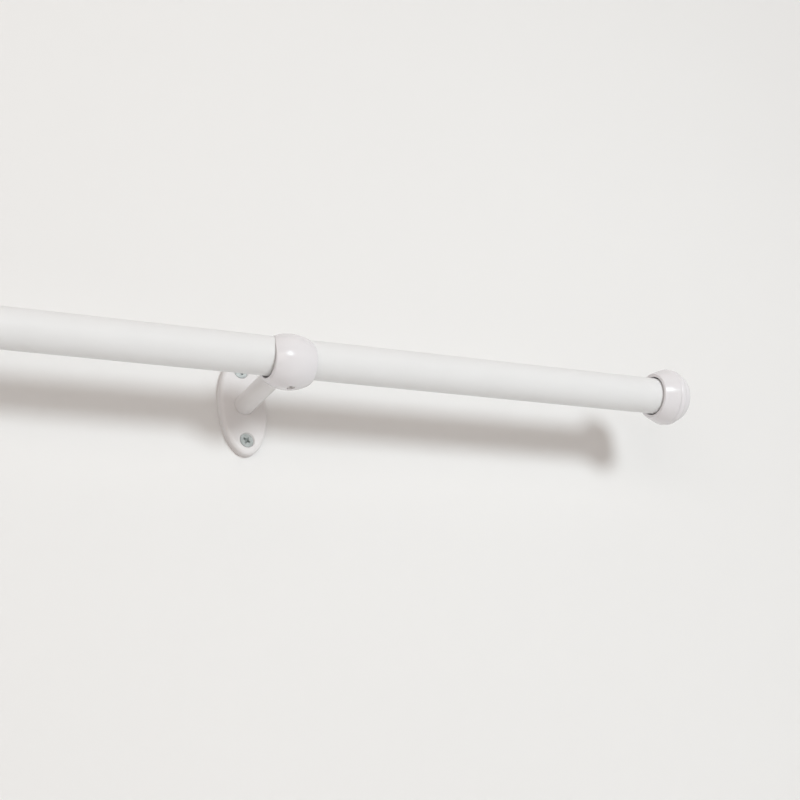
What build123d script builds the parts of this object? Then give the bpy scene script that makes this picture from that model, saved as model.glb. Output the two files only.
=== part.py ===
"""A white curtain rod on two wall brackets, with a push-on cap at each end.

X runs along the rod, -Y points into the room and +Z is up. The wall is the plane y = 0, and the origin
lies on it, midway between the brackets and level with their arms. All sizes are in millimetres.
"""

import os

from build123d import *

# Rod: one length of thin steel tube.
rod_length = 1200.0
rod_diameter = 25.0
rod_wall = 1.0
rod_end_chamfer = 0.3

# Where the brackets hold it.
bracket_to_rod_end = 291.5
projection = 76.0

# Wall plate: an oval moulding with a hollow back, and a boss at each screw.
plate_width = 33.4
plate_height = 68.6
plate_thickness = 6.0
plate_edge_radius = 2.8
plate_rim = 2.4
plate_hollow_depth = 2.8
plate_rib_width = 2.0
arm_boss_diameter = 18.0
screw_boss_diameter = 11.5
arm_socket_depth = 1.0

# Arm: a round bar, tapped at both ends.
arm_diameter = 13.5
arm_edge_chamfer = 0.4
thread_depth_spare = 1.5

# Holder ring: a barrel round the rod, with a flat-bottomed socket for the arm. Its bore sits above its
# middle, which leaves a thick wall below for the lock screw and breaks out of the barrel at the top of
# each end.
ring_width = 28.0
ring_diameter = 35.4
ring_rim_diameter = 27.6
ring_bore_diameter = 26.6
ring_bore_rise = 2.15
ring_edge_radius = 0.8
ring_socket_wall = 3.0

# End cap: a slightly crowned band that widens from its mouth, a groove, a smaller bead and a rounded end.
cap_length = 24.8
cap_mouth_depth = 9.2
cap_mouth_bore = 26.6
cap_mouth_diameter = 31.2
cap_mouth_radius = 0.8
cap_band_diameter = 39.8
cap_band_crown = 0.25
cap_band_length = 10.8
cap_groove_diameter = 36.2
cap_groove_width = 0.8
cap_bead_diameter = 38.9
cap_bead_edge_diameter = 37.4
cap_bead_width = 4.5
cap_dome_diameter = 34.8
cap_face_diameter = 25.0
cap_edge_radius = 0.4
cap_face_rise = 0.7
cap_end_wall = 2.5

# Spigot of the end cap, a ribbed sleeve that grips inside the tube.
spigot_length = 20.0
spigot_wall = 1.6
spigot_rib_height = 0.8
spigot_rib_width = 1.2
spigot_rib_count = 8
spigot_lead_in = 2.0

# Wall screws: countersunk wood screws, two to a plate. The plain neck ends at the wall's surface.
wall_screw_from_plate_end = 9.8
wall_screw_diameter = 4.5
wall_screw_neck = 3.4
wall_screw_head = 9.2
wall_screw_length = 40.0
wall_screw_tip = 6.0
wall_screw_sink = 0.6
wall_screw_recess = 5.4

# Arm screw, from the plate's back into the arm.
arm_screw_diameter = 5.0
arm_screw_neck = 4.2
arm_screw_thread_start = 3.6
arm_screw_head = 9.2
arm_screw_length = 16.0
arm_screw_sink = 0.3
arm_screw_recess = 5.0

# Ring screw, from inside the ring's bore into the arm.
ring_screw_diameter = 4.0
ring_screw_neck = 3.3
ring_screw_thread_start = 3.2
ring_screw_head = 7.4
ring_screw_length = 14.0
ring_screw_sink = 0.1
ring_screw_recess = 4.2

# Lock screw, a grub screw in the ring's underside.
lock_screw_diameter = 5.0
lock_screw_length = 7.5
lock_screw_key = 2.5
lock_screw_key_depth = 2.4
lock_screw_chamfer = 0.5

# Clearances.
thread_clearance = 0.05
hole_clearance = 0.2
seat_clearance = 0.05
socket_clearance = 0.05
spigot_clearance = 0.1
countersink_reach = 2.0

head_rim = 0.3
recess_arm_width = 1.1
recess_depth = 1.6
recess_taper = 10.0
recess_turn = 45.0
machine_screw_tip = 0.6

# Places that follow from the sizes above. The lock screw lifts the rod to the top of the ring's bore.
bracket_x = rod_length / 2 - bracket_to_rod_end
rod_lift = ring_bore_rise + (ring_bore_diameter - rod_diameter) / 2 - seat_clearance
ring_back = ring_bore_diameter / 2 + ring_socket_wall
arm_start = plate_thickness - arm_socket_depth
arm_length = projection - ring_back - arm_start
lock_screw_tip = rod_lift - rod_diameter / 2 - seat_clearance
cap_mouth_x = rod_length / 2 - cap_mouth_depth + seat_clearance
wall_screw_spacing = plate_height - 2 * wall_screw_from_plate_end
screw_levels = {"upper": wall_screw_spacing / 2, "lower": -wall_screw_spacing / 2}

os.makedirs("parts", exist_ok=True)


def wall_plane(x, depth):
    """The plane parallel to the wall, facing the room, this far in front of it."""
    return Plane(origin=(x, -depth, 0), x_dir=(1, 0, 0), z_dir=(0, -1, 0))


def countersunk_screw(face, head, neck, shank, thread_start, length, tip, recess):
    """A countersunk screw with its head's flat face on the plane, pointing away from the plane's normal."""
    cone_end = head_rim + (head - neck) / 2
    lengthwise = Plane(origin=face.origin, x_dir=face.x_dir, z_dir=-face.y_dir)
    with BuildPart() as screw:
        with BuildSketch(lengthwise):
            with BuildLine():
                Polyline(
                    (0, 0),
                    (head / 2, 0),
                    (head / 2, -head_rim),
                    (neck / 2, -cone_end),
                    (neck / 2, -thread_start),
                    (shank / 2, -thread_start),
                    (shank / 2, tip - length),
                    (shank / 8, -length),
                    (0, -length),
                    close=True,
                )
            make_face()
        revolve(axis=Axis(face.origin, face.z_dir))
        with BuildSketch(face):
            Rectangle(recess, recess_arm_width, rotation=recess_turn)
            Rectangle(recess_arm_width, recess, rotation=recess_turn)
        extrude(amount=-recess_depth, taper=recess_taper, mode=Mode.SUBTRACT)
    return screw.part


def countersink_cutter(face, head, shank, sink, through):
    """What a countersunk hole takes away, for a screw whose head lies this far below the plane."""
    cone_radius = head / 2 + hole_clearance
    hole_radius = shank / 2 + hole_clearance
    floor = sink + head_rim
    lengthwise = Plane(origin=face.origin, x_dir=face.x_dir, z_dir=-face.y_dir)
    with BuildPart() as cutter:
        with BuildSketch(lengthwise):
            with BuildLine():
                Polyline(
                    (0, countersink_reach),
                    (cone_radius + sink, countersink_reach),
                    (cone_radius + sink, 0),
                    (cone_radius, -floor),
                    (hole_radius, -floor - (cone_radius - hole_radius)),
                    (hole_radius, -through),
                    (0, -through),
                    close=True,
                )
            make_face()
        revolve(axis=Axis(face.origin, face.z_dir))
    return cutter.part


with BuildPart() as rod_tube:
    with BuildSketch(Plane(origin=(-rod_length / 2, -projection, rod_lift), z_dir=(1, 0, 0))):
        Circle(rod_diameter / 2)
        Circle(rod_diameter / 2 - rod_wall, mode=Mode.SUBTRACT)
    extrude(amount=rod_length)
    rims = rod_tube.edges().filter_by(GeomType.CIRCLE).group_by(SortBy.RADIUS)[-1]
    chamfer(rims, rod_end_chamfer)
rod_tube.part.label = "rod_tube"
export_step(rod_tube.part, "parts/rod_tube.step")

for side, x in (("left", -bracket_x), ("right", bracket_x)):
    # Wall plate, with its hollow back, the arm's socket and the countersunk holes.
    arm_screw_seat = countersink_cutter(
        Plane(origin=(x, 0, 0), x_dir=(1, 0, 0), z_dir=(0, 1, 0)),
        arm_screw_head,
        arm_screw_diameter,
        arm_screw_sink,
        plate_thickness,
    )
    wall_screw_seats = [
        countersink_cutter(
            Plane(origin=(x, -plate_thickness, z), x_dir=(1, 0, 0), z_dir=(0, -1, 0)),
            wall_screw_head,
            wall_screw_diameter,
            wall_screw_sink,
            plate_thickness + 1,
        )
        for z in screw_levels.values()
    ]
    with BuildPart() as wall_plate:
        with BuildSketch(wall_plane(x, 0)):
            Ellipse(plate_width / 2, plate_height / 2)
        extrude(amount=plate_thickness)
        front_edge = wall_plate.faces().sort_by(Axis.Y)[0].edges()
        fillet(front_edge, plate_edge_radius)
        with BuildSketch(wall_plane(x, 0)):
            Ellipse(plate_width / 2 - plate_rim, plate_height / 2 - plate_rim)
            Circle(arm_boss_diameter / 2, mode=Mode.SUBTRACT)
            with GridLocations(0, wall_screw_spacing, 1, 2):
                Circle(screw_boss_diameter / 2, mode=Mode.SUBTRACT)
            Rectangle(plate_rib_width, plate_height, mode=Mode.SUBTRACT)
            Rectangle(plate_width, plate_rib_width, mode=Mode.SUBTRACT)
        extrude(amount=plate_hollow_depth, mode=Mode.SUBTRACT)
        with BuildSketch(wall_plane(x, arm_start)):
            Circle(arm_diameter / 2 + socket_clearance)
        extrude(amount=plate_thickness, mode=Mode.SUBTRACT)
        add(arm_screw_seat, mode=Mode.SUBTRACT)
        add(wall_screw_seats, mode=Mode.SUBTRACT)
    wall_plate.part.label = f"wall_plate_{side}"
    export_step(wall_plate.part, f"parts/wall_plate_{side}.step")

    # Arm, tapped at its back for the arm screw and at its front for the ring screw.
    back_thread = arm_screw_length + arm_screw_sink - arm_start + thread_depth_spare
    front_thread = ring_screw_length + ring_screw_sink - ring_socket_wall + thread_depth_spare
    with BuildPart() as arm:
        with BuildSketch(wall_plane(x, arm_start)):
            Circle(arm_diameter / 2)
        extrude(amount=arm_length)
        chamfer(arm.edges().filter_by(GeomType.CIRCLE), arm_edge_chamfer)
        with BuildSketch(wall_plane(x, arm_start)):
            Circle(arm_screw_diameter / 2 + thread_clearance)
        extrude(amount=back_thread, mode=Mode.SUBTRACT)
        with BuildSketch(wall_plane(x, arm_start + arm_length)):
            Circle(ring_screw_diameter / 2 + thread_clearance)
        extrude(amount=-front_thread, mode=Mode.SUBTRACT)
    arm.part.label = f"arm_{side}"
    export_step(arm.part, f"parts/arm_{side}.step")

    # Holder ring, with the arm's socket, the ring screw's hole and the lock screw's thread.
    centre = (x, -projection, 0)
    half = ring_width / 2
    ring_screw_seat = countersink_cutter(
        wall_plane(x, projection - ring_bore_diameter / 2),
        ring_screw_head,
        ring_screw_diameter,
        ring_screw_sink,
        ring_socket_wall + 1,
    )
    with BuildPart() as holder_ring:
        with BuildSketch(Plane(origin=centre, x_dir=(1, 0, 0), z_dir=(0, -1, 0))):
            with BuildLine():
                ThreePointArc(
                    (-half, ring_rim_diameter / 2), (0, ring_diameter / 2), (half, ring_rim_diameter / 2)
                )
                Polyline((half, ring_rim_diameter / 2), (half, 0), (-half, 0), (-half, ring_rim_diameter / 2))
            make_face()
        revolve(axis=Axis(centre, (1, 0, 0)))
        fillet(holder_ring.edges().filter_by(GeomType.CIRCLE), ring_edge_radius)
        with BuildSketch(Plane(origin=(x - half, -projection, ring_bore_rise), z_dir=(1, 0, 0))):
            Circle(ring_bore_diameter / 2)
        extrude(amount=ring_width, mode=Mode.SUBTRACT)
        with BuildSketch(wall_plane(x, projection - ring_back)):
            Circle(arm_diameter / 2 + socket_clearance)
        extrude(amount=-ring_diameter, mode=Mode.SUBTRACT)
        add(ring_screw_seat, mode=Mode.SUBTRACT)
        with BuildSketch(Plane(origin=centre, z_dir=(0, 0, -1))):
            Circle(lock_screw_diameter / 2 + thread_clearance)
        extrude(amount=ring_diameter, mode=Mode.SUBTRACT)
    holder_ring.part.label = f"holder_ring_{side}"
    export_step(holder_ring.part, f"parts/holder_ring_{side}.step")

    # The screws that hold the bracket together, and the one that locks the rod in its ring.
    arm_screw = countersunk_screw(
        Plane(origin=(x, -arm_screw_sink, 0), x_dir=(1, 0, 0), z_dir=(0, 1, 0)),
        arm_screw_head,
        arm_screw_neck,
        arm_screw_diameter,
        arm_screw_thread_start,
        arm_screw_length,
        machine_screw_tip,
        arm_screw_recess,
    )
    arm_screw.label = f"arm_screw_{side}"
    export_step(arm_screw, f"parts/arm_screw_{side}.step")

    ring_screw = countersunk_screw(
        wall_plane(x, projection - ring_bore_diameter / 2 - ring_screw_sink),
        ring_screw_head,
        ring_screw_neck,
        ring_screw_diameter,
        ring_screw_thread_start,
        ring_screw_length,
        machine_screw_tip,
        ring_screw_recess,
    )
    ring_screw.label = f"ring_screw_{side}"
    export_step(ring_screw, f"parts/ring_screw_{side}.step")

    with BuildPart() as lock_screw:
        with BuildSketch(Plane(origin=(x, -projection, lock_screw_tip), z_dir=(0, 0, -1))):
            Circle(lock_screw_diameter / 2)
        extrude(amount=lock_screw_length)
        chamfer(lock_screw.edges().filter_by(GeomType.CIRCLE), lock_screw_chamfer)
        with BuildSketch(Plane(origin=(x, -projection, lock_screw_tip - lock_screw_length), z_dir=(0, 0, -1))):
            RegularPolygon(lock_screw_key / 2, 6, major_radius=False)
        extrude(amount=-lock_screw_key_depth, mode=Mode.SUBTRACT)
    lock_screw.part.label = f"lock_screw_{side}"
    export_step(lock_screw.part, f"parts/lock_screw_{side}.step")

    for level, z in screw_levels.items():
        wall_screw = countersunk_screw(
            Plane(origin=(x, wall_screw_sink - plate_thickness, z), x_dir=(1, 0, 0), z_dir=(0, -1, 0)),
            wall_screw_head,
            wall_screw_neck,
            wall_screw_diameter,
            plate_thickness - wall_screw_sink,
            wall_screw_length,
            wall_screw_tip,
            wall_screw_recess,
        )
        wall_screw.label = f"wall_screw_{side}_{level}"
        export_step(wall_screw, f"parts/wall_screw_{side}_{level}.step")

# End caps. Each is drawn from its mouth outwards, and its local X points away from the rod.
mouth_radius = cap_mouth_diameter / 2
band_radius = cap_band_diameter / 2
band_middle = (cap_band_length / 2, (mouth_radius + band_radius) / 2 + cap_band_crown)
bead_start = cap_band_length + cap_groove_width
bead_end = bead_start + cap_bead_width
tube_inner_radius = rod_diameter / 2 - rod_wall
rib_radius = tube_inner_radius - spigot_clearance
spigot_radius = rib_radius - spigot_rib_height
hollow_radius = spigot_radius - spigot_wall
face_edge = cap_length - cap_face_rise

for side, outwards in (("left", -1), ("right", 1)):
    mouth = (outwards * cap_mouth_x, -projection, rod_lift)
    lengthwise = Plane(origin=mouth, x_dir=(outwards, 0, 0), z_dir=(0, -outwards, 0))
    with BuildPart() as end_cap:
        with BuildSketch(lengthwise):
            with BuildLine():
                ThreePointArc((0, mouth_radius), band_middle, (cap_band_length, band_radius))
                Polyline(
                    (cap_band_length, band_radius),
                    (cap_band_length, cap_groove_diameter / 2),
                    (bead_start, cap_groove_diameter / 2),
                    (bead_start, cap_bead_edge_diameter / 2),
                )
                ThreePointArc(
                    (bead_start, cap_bead_edge_diameter / 2),
                    ((bead_start + bead_end) / 2, cap_bead_diameter / 2),
                    (bead_end, cap_bead_edge_diameter / 2),
                )
                Line((bead_end, cap_bead_edge_diameter / 2), (bead_end, cap_dome_diameter / 2))
                TangentArc((bead_end, cap_dome_diameter / 2), (face_edge, cap_face_diameter / 2), tangent=(1, 0))
                Spline(
                    (face_edge, cap_face_diameter / 2),
                    (cap_length, 0),
                    tangents=((cap_face_rise, -cap_face_diameter / 4), (0, -1)),
                )
                Polyline(
                    (cap_length, 0),
                    (cap_length - cap_end_wall, 0),
                    (cap_length - cap_end_wall, hollow_radius),
                    (cap_mouth_depth - spigot_length, hollow_radius),
                    (cap_mouth_depth - spigot_length, spigot_radius),
                    (cap_mouth_depth, spigot_radius),
                    (cap_mouth_depth, cap_mouth_bore / 2),
                    (0, cap_mouth_bore / 2),
                    (0, mouth_radius),
                )
            make_face()
        revolve(axis=Axis(mouth, (outwards, 0, 0)))
        mouth_edges = end_cap.edges().filter_by(GeomType.CIRCLE).filter_by_position(
            Axis.X, mouth[0] - seat_clearance, mouth[0] + seat_clearance
        )
        fillet(mouth_edges, cap_mouth_radius)
        band_end = mouth[0] + outwards * cap_band_length
        band_edge = end_cap.edges().filter_by(GeomType.CIRCLE).filter_by_position(
            Axis.X, band_end - seat_clearance, band_end + seat_clearance
        ).group_by(SortBy.RADIUS)[-1]
        fillet(band_edge, cap_edge_radius)
        rib_start = mouth[0] + outwards * (cap_mouth_depth - spigot_length + spigot_lead_in)
        with BuildSketch(Plane(origin=(rib_start, -projection, rod_lift), z_dir=(outwards, 0, 0))):
            with PolarLocations(rib_radius - spigot_rib_height, spigot_rib_count):
                Rectangle(2 * spigot_rib_height, spigot_rib_width)
        extrude(amount=spigot_length - spigot_lead_in)
    end_cap.part.label = f"end_cap_{side}"
    export_step(end_cap.part, f"parts/end_cap_{side}.step")
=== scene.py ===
"""Looks of the white curtain rod: satin powder coat, gloss plastic and zinc screws, by a pale wall.

Lengths are in metres, but for the wall screws' own values, which are in millimetres.
"""

from math import cos, radians, sin, tau

import bmesh
import bpy
from mathutils import Matrix, Vector


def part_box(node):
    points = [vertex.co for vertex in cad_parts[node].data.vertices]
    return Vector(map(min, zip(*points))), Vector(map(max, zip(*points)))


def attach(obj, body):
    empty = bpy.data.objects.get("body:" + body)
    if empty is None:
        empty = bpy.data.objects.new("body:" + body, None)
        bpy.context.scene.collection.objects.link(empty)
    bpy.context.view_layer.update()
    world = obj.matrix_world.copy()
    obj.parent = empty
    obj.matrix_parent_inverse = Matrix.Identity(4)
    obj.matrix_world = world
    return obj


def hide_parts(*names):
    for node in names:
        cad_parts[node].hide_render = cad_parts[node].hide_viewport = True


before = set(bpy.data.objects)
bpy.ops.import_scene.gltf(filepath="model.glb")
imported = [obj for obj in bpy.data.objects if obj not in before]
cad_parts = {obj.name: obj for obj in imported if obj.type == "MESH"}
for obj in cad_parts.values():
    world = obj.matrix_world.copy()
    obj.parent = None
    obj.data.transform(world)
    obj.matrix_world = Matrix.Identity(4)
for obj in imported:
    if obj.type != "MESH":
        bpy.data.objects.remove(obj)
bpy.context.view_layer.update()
scene = bpy.context.scene

# Camera, fitted to the photograph. It turns in degrees, and its lens and sensor are in millimetres.
CAMERA_PLACE = (-0.10648, -0.89912, -0.41008)
CAMERA_TURN = (112.364, 6.773, -28.076)
CAMERA_LENS = 72.85
CAMERA_SENSOR = 36.0

# Light. The key throws the rod's soft shadow on the wall, the shine gives the gloss its highlights, and the
# rest fills.
KEY_COLOUR = (0.895, 0.967, 1.0)
KEY_PLACE = (0.76, -2.0, 0.160)
KEY_SIZE = 0.48
KEY_POWER = 20.2
SHINE_PLACE = (0.25, -2.0, 0.34)
SHINE_SIZE = 0.62
SHINE_POWER = 8.5
FRONT_AIM = (0.40, 0.0, 0.0)
FILL_COLOUR = (1.0, 0.912, 0.85)
SIDE_PLACE = (-0.70, -1.7, 0.0)
SIDE_AIM = (0.30, 0.0, 0.0)
SIDE_SIZE = 1.4
SIDE_POWER = 7.5
TOP_PLACE = (0.30, -1.0, 2.2)
TOP_AIM = (0.30, -0.3, 0.0)
TOP_SIZE = 2.4
TOP_POWER = 6.0
WORLD_LIGHT = 0.40

# Finishes. A noise from NOISE_LOW to NOISE_HIGH takes a colour or a roughness from one end to the other.
# A mottle is the darker colour's share of the lighter one.
TUBE_WHITE = (0.775, 0.777, 0.78)
BRACKET_WHITE = (0.772, 0.755, 0.755)
PLASTIC_WHITE = (0.757, 0.740, 0.758)
ZINC_DARK = (0.44, 0.48, 0.475)
ZINC_LIGHT = (0.60, 0.645, 0.64)
NOISE_LOW = 0.3
NOISE_HIGH = 0.7
MOTTLE = 0.985

# Wall and backdrop. The wall stands just behind the plates and curves into a floor well below the rod, and
# fades into the backdrop by the distance from the rod's middle. Patches and grain are a noise's scale and
# detail.
WALL_COLOUR = (0.828, 0.825, 0.820)
WALL_MOTTLE = 0.99
WALL_PATCHES = (3.0, 2.0)
WALL_GRAIN = (500.0, 3.0)
WALL_GRAIN_DEPTH = 0.0001
WALL_GRAIN_STRENGTH = 0.3
WALL_ROUGHNESS = 0.85
WALL_SPECULAR = 0.2
WALL_Y = 0.0004
WALL_HALF_WIDTH = 5.0
WALL_TOP = 3.0
CURVE_TOP = -0.9
CURVE_RADIUS = 0.4
CURVE_STEPS = 12
FLOOR_FRONT = -6.0
BACKDROP = (0.82, 0.80, 0.785)
FADE_START = 0.75
FADE_END = 1.7
SHORT_RAY = 0.008

# Wall screws with a real thread and a deeper cross recess, in millimetres from the head's flat face, and in
# degrees. An outline is a list of (y, radius), and each of the blade's ends is (y, share of its width, share
# of its thickness).
SCREW_SIDES = 40
CORE_RADIUS = 1.42
TAPER_START = 34.5
TAPER_END = 38.6
TAPER_RADIUS = 0.45
SCREW_OUTLINE = [(0.0, 4.46), (0.14, 4.6), (0.32, 4.6), (0.5, 4.42), (3.05, 1.86), (3.35, 1.72), (5.4, 1.7),
                 (6.4, CORE_RADIUS), (TAPER_START, CORE_RADIUS), (TAPER_END, TAPER_RADIUS), (40.0, 0.04)]
THREAD_PITCH = 2.0
THREAD_START = 5.6
THREAD_END = 38.9
THREAD_RADIUS = 2.25
THREAD_RUN_OUT = 3.5
THREAD_FOOT = 0.42
THREAD_CREST = 0.07
THREAD_SUNK = 0.15
BLADE_HALF_WIDTH = 2.7
BLADE_HALF_THICKNESS = 0.72
BLADE_ENDS = ((-0.4, 1.06, 1.06), (2.3, 0.42, 0.55))
BLADE_TURNS = (45, 135)
MIDDLE_OUTLINE = [(-0.4, 1.75), (0.0, 1.6), (2.2, 0.7), (2.9, 0.1)]
MIDDLE_SIDES = 24
SHARP_ANGLE = 32
CROSS_TURNS = {"wall_screw_right_lower": 12.0, "wall_screw_right_upper": -21.0,
               "wall_screw_left_lower": 34.0, "wall_screw_left_upper": 5.0}


def add_node(tree, kind, **values):
    """A new node with its properties and input values set."""
    node = tree.nodes.new(kind)
    for key, value in values.items():
        if key in node.inputs:
            node.inputs[key].default_value = value
        else:
            setattr(node, key, value)
    return node


def link(tree, *pairs):
    """Joins each output to its socket."""
    for output, socket in pairs:
        tree.links.new(output, socket)


def start_material(name):
    """A new material, with its node tree, its shader and the coordinates of the object that wears it."""
    material = bpy.data.materials.new(name)
    material.use_nodes = True
    tree = material.node_tree
    coords = tree.nodes.new("ShaderNodeTexCoord").outputs["Object"]
    return material, tree, tree.nodes["Principled BSDF"], coords


def noise(tree, coords, scale, detail):
    """A noise over the object's own coordinates."""
    node = add_node(tree, "ShaderNodeTexNoise", Scale=scale, Detail=detail)
    link(tree, (coords, node.inputs["Vector"]))
    return node.outputs["Fac"]


def remap(tree, value, low, high):
    """Turns a noise value into the range from low to high."""
    ends = {"From Min": NOISE_LOW, "From Max": NOISE_HIGH, "To Min": low, "To Max": high}
    node = add_node(tree, "ShaderNodeMapRange", **ends)
    link(tree, (value, node.inputs["Value"]))
    return node.outputs["Result"]


def tint(tree, value, dark, light):
    """A colour between two, by a noise value."""
    ramp = tree.nodes.new("ShaderNodeValToRGB")
    for element, place, colour in zip(ramp.color_ramp.elements, (NOISE_LOW, NOISE_HIGH), (dark, light)):
        element.position = place
        element.color = (*colour, 1.0)
    link(tree, (value, ramp.inputs["Fac"]))
    return ramp.outputs["Color"]


def bump(tree, height, shader, distance, strength):
    """Small relief on the shader, from a noise value."""
    node = add_node(tree, "ShaderNodeBump", Distance=distance, Strength=strength)
    link(tree, (height, node.inputs["Height"]), (node.outputs["Normal"], shader.inputs["Normal"]))


def shaded(colour, share):
    """A colour made darker, to a share of itself."""
    return tuple(c * share for c in colour)


def finish(name, dark, light, rough, mottle, patches, relief, depth, strength, metallic=0.0):
    """A material that varies by three noises, each given as scale and detail: in colour by mottle, in
    roughness by patches and in height by relief.
    """
    material, tree, shader, coords = start_material(name)
    link(tree, (tint(tree, noise(tree, coords, *mottle), dark, light), shader.inputs["Base Color"]),
         (remap(tree, noise(tree, coords, *patches), *rough), shader.inputs["Roughness"]))
    shader.inputs["Metallic"].default_value = metallic
    bump(tree, noise(tree, coords, *relief), shader, depth, strength)
    return material


def powder_coat(name, colour, rough):
    """White paint with a fine orange peel."""
    return finish(name, shaded(colour, MOTTLE), colour, rough, mottle=(45.0, 2.0), patches=(160.0, 2.0),
                  relief=(520.0, 1.0), depth=0.00002, strength=0.12)


def studio_ray(tree):
    """1 for the rays that see the backdrop: the camera's, glossy and transmission rays."""
    path = tree.nodes.new("ShaderNodeLightPath")
    either = add_node(tree, "ShaderNodeMath", operation="MAXIMUM")
    every = add_node(tree, "ShaderNodeMath", operation="MAXIMUM")
    link(tree, (path.outputs["Is Camera Ray"], either.inputs[0]),
         (path.outputs["Is Glossy Ray"], either.inputs[1]), (either.outputs[0], every.inputs[0]),
         (path.outputs["Is Transmission Ray"], every.inputs[1]))
    return every.outputs[0]


def solid(name, points, faces):
    """An object from points in mm, its faces turned outwards."""
    mesh = bpy.data.meshes.new(name)
    mesh.from_pydata([tuple(c / 1000 for c in p) for p in points], [], faces)
    turned_out = bmesh.new()
    turned_out.from_mesh(mesh)
    bmesh.ops.recalc_face_normals(turned_out, faces=turned_out.faces)
    turned_out.to_mesh(mesh)
    turned_out.free()
    piece = bpy.data.objects.new(name, mesh)
    scene.collection.objects.link(piece)
    return piece


def ring_faces(rows, sides):
    """The side faces between rows of points, each row a ring of so many points."""
    faces = []
    for row in range(rows - 1):
        for k in range(sides):
            a, b = row * sides + k, row * sides + (k + 1) % sides
            faces.append((a, a + sides, b + sides, b))
    return faces


def turned(name, outline, sides):
    """A closed body of revolution about Y, from a list of (y, radius)."""
    points = []
    for y, radius in outline:
        points += [(radius * cos(tau * k / sides), y, radius * sin(tau * k / sides)) for k in range(sides)]
    last = (len(outline) - 1) * sides
    ends = [tuple(range(sides)), tuple(reversed(range(last, last + sides)))]
    return solid(name, points, [ends[0], *ring_faces(len(outline), sides), ends[1]])


def blade(turn):
    """One blade of the cross recess, which tapers to its floor."""
    points = []
    for y, along, across in BLADE_ENDS:
        for u, v in ((-1, -1), (1, -1), (1, 1), (-1, 1)):
            x, z = u * BLADE_HALF_WIDTH * along, v * BLADE_HALF_THICKNESS * across
            points.append((x * cos(turn) - z * sin(turn), y, x * sin(turn) + z * cos(turn)))
    return solid("blade", points, [(3, 2, 1, 0), (4, 5, 6, 7), *ring_faces(2, 4)])


def thread_ridge():
    """The thread, a ridge that winds round the core and runs out towards the tip."""
    steps = int((THREAD_END - THREAD_START) / THREAD_PITCH * SCREW_SIDES)
    points = []
    for step in range(steps + 1):
        y = THREAD_START + THREAD_PITCH * step / SCREW_SIDES
        tapered = max(0.0, (y - TAPER_START) / (TAPER_END - TAPER_START))
        core = CORE_RADIUS - (CORE_RADIUS - TAPER_RADIUS) * tapered
        grown = min(1.0, step / SCREW_SIDES, (THREAD_END - y) / THREAD_RUN_OUT)
        height = (THREAD_RADIUS - CORE_RADIUS) * grown
        turn = tau * step / SCREW_SIDES
        for shift, radius in ((-THREAD_FOOT, core - THREAD_SUNK), (-THREAD_CREST, core + height),
                              (THREAD_CREST, core + height), (THREAD_FOOT, core - THREAD_SUNK)):
            points.append((radius * cos(turn), y + shift, radius * sin(turn)))
    ends = [(0, 1, 2, 3), tuple(range(4 * steps, 4 * steps + 4))]
    return solid("thread", points, ends + ring_faces(steps + 1, 4))


def wall_screw_mesh():
    """One mesh for all the wall screws, with its head's face at the origin and its tip along Y."""
    body = turned("screw_body", SCREW_OUTLINE, SCREW_SIDES)
    cutters = [blade(radians(turn)) for turn in BLADE_TURNS]
    cutters.append(turned("middle", MIDDLE_OUTLINE, MIDDLE_SIDES))
    for cutter in cutters:
        cut = body.modifiers.new("cut", "BOOLEAN")
        cut.operation = "DIFFERENCE"
        cut.solver = "EXACT"
        cut.object = cutter
    depsgraph = bpy.context.evaluated_depsgraph_get()
    mesh = bpy.data.meshes.new_from_object(body.evaluated_get(depsgraph))
    ridge = thread_ridge()
    joined = bmesh.new()
    joined.from_mesh(mesh)
    joined.from_mesh(ridge.data)
    joined.to_mesh(mesh)
    joined.free()
    for spare in [body, ridge, *cutters]:
        bpy.data.objects.remove(spare)
    for face in mesh.polygons:
        face.use_smooth = True
    mesh.set_sharp_from_angle(angle=radians(SHARP_ANGLE))
    mesh.materials.clear()
    mesh.materials.append(ZINC)
    return mesh


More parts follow.
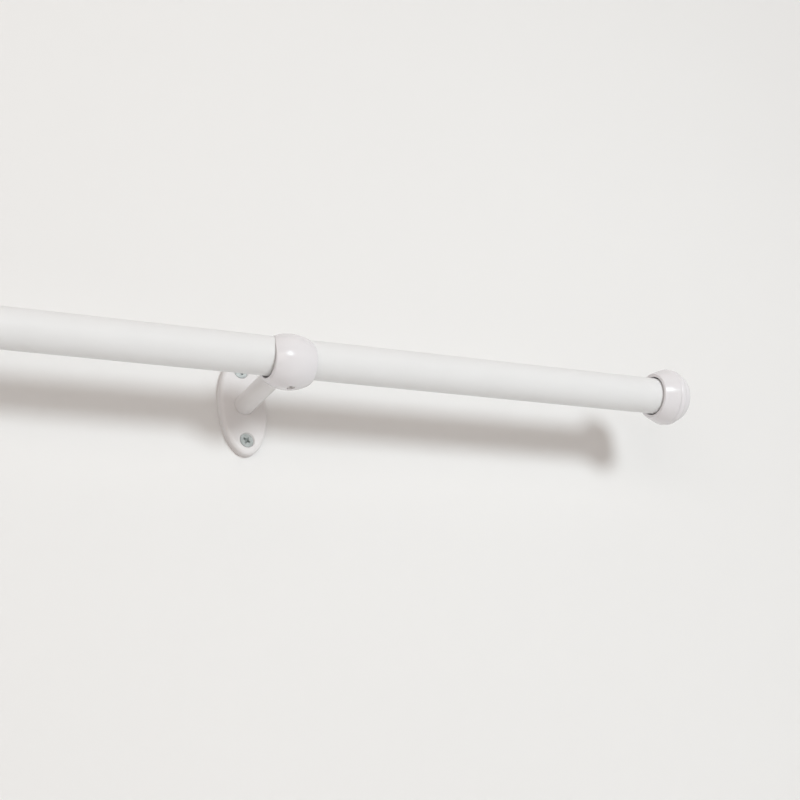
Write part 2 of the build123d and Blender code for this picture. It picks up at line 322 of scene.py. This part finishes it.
def wall_paint():
    """Matt paint. Far from the rod it shows as the plain backdrop. Its back is clear, so that the brackets'
    backs show. So is its front to short rays, so that light gets into a plate's hollow back.
    """
    paint, tree, shader, coords = start_material("wall_paint")
    paint.cycles.emission_sampling = "NONE"
    colour = tint(tree, noise(tree, coords, *WALL_PATCHES), shaded(WALL_COLOUR, WALL_MOTTLE), WALL_COLOUR)
    link(tree, (colour, shader.inputs["Base Color"]))
    shader.inputs["Roughness"].default_value = WALL_ROUGHNESS
    shader.inputs["Specular IOR Level"].default_value = WALL_SPECULAR
    bump(tree, noise(tree, coords, *WALL_GRAIN), shader, WALL_GRAIN_DEPTH, WALL_GRAIN_STRENGTH)
    spot = tree.nodes.new("ShaderNodeNewGeometry")
    away = add_node(tree, "ShaderNodeVectorMath", operation="LENGTH")
    reach = {"From Min": FADE_START, "From Max": FADE_END}
    far = add_node(tree, "ShaderNodeMapRange", interpolation_type="SMOOTHSTEP", **reach)
    seen = add_node(tree, "ShaderNodeMath", operation="MULTIPLY")
    plain = add_node(tree, "ShaderNodeEmission", Color=(*BACKDROP, 1.0), Strength=1.0)
    front = tree.nodes.new("ShaderNodeMixShader")
    path = tree.nodes.new("ShaderNodeLightPath")
    near = add_node(tree, "ShaderNodeMath", operation="LESS_THAN")
    near.inputs[1].default_value = SHORT_RAY
    open_side = add_node(tree, "ShaderNodeMath", operation="MAXIMUM")
    clear = tree.nodes.new("ShaderNodeBsdfTransparent")
    pick = tree.nodes.new("ShaderNodeMixShader")
    link(tree, (spot.outputs["Position"], away.inputs[0]), (away.outputs["Value"], far.inputs["Value"]),
         (far.outputs["Result"], seen.inputs[0]), (studio_ray(tree), seen.inputs[1]),
         (seen.outputs[0], front.inputs["Fac"]), (shader.outputs["BSDF"], front.inputs[1]),
         (plain.outputs["Emission"], front.inputs[2]), (path.outputs["Ray Length"], near.inputs[0]),
         (spot.outputs["Backfacing"], open_side.inputs[0]), (near.outputs[0], open_side.inputs[1]),
         (open_side.outputs[0], pick.inputs["Fac"]), (front.outputs["Shader"], pick.inputs[1]),
         (clear.outputs["BSDF"], pick.inputs[2]),
         (pick.outputs["Shader"], tree.nodes["Material Output"].inputs["Surface"]))
    return paint


def wall_mesh():
    """The wall, the curve at its foot and the floor, as one smooth sheet."""
    profile = [(WALL_Y, WALL_TOP), (WALL_Y, CURVE_TOP)]
    for step in range(1, CURVE_STEPS + 1):
        turn = radians(90 * step / CURVE_STEPS)
        profile.append((WALL_Y - CURVE_RADIUS * (1 - cos(turn)), CURVE_TOP - CURVE_RADIUS * sin(turn)))
    profile.append((FLOOR_FRONT, CURVE_TOP - CURVE_RADIUS))
    points = [(x, y, z) for x in (-WALL_HALF_WIDTH, WALL_HALF_WIDTH) for y, z in profile]
    count = len(profile)
    mesh = bpy.data.meshes.new("wall")
    mesh.from_pydata(points, [], [(i, i + 1, count + i + 1, count + i) for i in range(count - 1)])
    for face in mesh.polygons:
        face.use_smooth = True
    mesh.materials.append(wall_paint())
    return mesh


def area_lamp(name, place, aim, size, power, shape, colour):
    """A soft lamp that looks at a point."""
    data = bpy.data.lights.new(name, "AREA")
    data.color = colour
    data.shape = shape
    data.size = size
    data.energy = power
    lamp = bpy.data.objects.new(name, data)
    lamp.location = place
    lamp.rotation_euler = (Vector(aim) - Vector(place)).to_track_quat("-Z", "Y").to_euler()
    scene.collection.objects.link(lamp)
    return lamp


# The CAD nodes' finishes, by the start of a node's name. The screws that FINISHES doesn't name are zinc.
TUBE_PAINT = powder_coat("satin_powder_coat", TUBE_WHITE, (0.50, 0.60))
BRACKET_PAINT = powder_coat("bracket_powder_coat", BRACKET_WHITE, (0.33, 0.41))
PLASTIC = finish("gloss_white_plastic", shaded(PLASTIC_WHITE, MOTTLE), PLASTIC_WHITE, (0.16, 0.22),
                 mottle=(60.0, 2.0), patches=(220.0, 2.0), relief=(90.0, 1.0), depth=0.00006, strength=0.25)
ZINC = finish("bright_zinc", ZINC_DARK, ZINC_LIGHT, (0.34, 0.50), mottle=(420.0, 3.0), patches=(700.0, 2.0),
              relief=(1500.0, 2.0), depth=0.00008, strength=0.5, metallic=0.7)
FINISHES = {"rod_tube": TUBE_PAINT, "wall_plate": BRACKET_PAINT, "arm_left": BRACKET_PAINT,
            "arm_right": BRACKET_PAINT, "lock_screw": BRACKET_PAINT, "holder_ring": PLASTIC,
            "end_cap": PLASTIC}
for name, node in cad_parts.items():
    material = next((m for start, m in FINISHES.items() if name.startswith(start)), ZINC)
    node.data.materials.clear()
    node.data.materials.append(material)

# The threaded wall screws, in their CAD nodes' places.
screw_mesh = wall_screw_mesh()
for name, turn in CROSS_TURNS.items():
    low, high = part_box(name)
    screw = bpy.data.objects.new("threaded_" + name, screw_mesh)
    place = Vector(((low[0] + high[0]) / 2, low[1], (low[2] + high[2]) / 2))
    screw.matrix_world = Matrix.Translation(place) @ Matrix.Rotation(radians(-turn), 4, "Y")
    scene.collection.objects.link(screw)
    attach(screw, "rod_on_brackets")
    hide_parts(name)

wall = bpy.data.objects.new("wall", wall_mesh())
scene.collection.objects.link(wall)

# The key gives no highlights, and the shine gives nothing else.
key = area_lamp("key", KEY_PLACE, FRONT_AIM, KEY_SIZE, KEY_POWER, "DISK", KEY_COLOUR)
key.visible_glossy = False
shine = area_lamp("shine", SHINE_PLACE, FRONT_AIM, SHINE_SIZE, SHINE_POWER, "DISK", KEY_COLOUR)
shine.visible_diffuse = False
area_lamp("side", SIDE_PLACE, SIDE_AIM, SIDE_SIZE, SIDE_POWER, "SQUARE", FILL_COLOUR)
area_lamp("top", TOP_PLACE, TOP_AIM, TOP_SIZE, TOP_POWER, "SQUARE", FILL_COLOUR)

# The world lights evenly, and shows as a pale backdrop.
world = bpy.data.worlds.new("studio")
scene.world = world
world.use_nodes = True
tree = world.node_tree
light = tree.nodes["Background"]
light.inputs["Color"].default_value = (*FILL_COLOUR, 1.0)
light.inputs["Strength"].default_value = WORLD_LIGHT
shown = add_node(tree, "ShaderNodeBackground", Color=(*BACKDROP, 1.0), Strength=1.0)
mix = tree.nodes.new("ShaderNodeMixShader")
link(tree, (studio_ray(tree), mix.inputs["Fac"]), (light.outputs["Background"], mix.inputs[1]),
     (shown.outputs["Background"], mix.inputs[2]),
     (mix.outputs["Shader"], tree.nodes["World Output"].inputs["Surface"]))

camera_data = bpy.data.cameras.new("camera")
camera_data.lens = CAMERA_LENS
camera_data.sensor_width = CAMERA_SENSOR
camera = bpy.data.objects.new("camera", camera_data)
camera.location = CAMERA_PLACE
camera.rotation_euler = [radians(a) for a in CAMERA_TURN]
scene.collection.objects.link(camera)
scene.camera = camera

scene.view_settings.view_transform = "Standard"
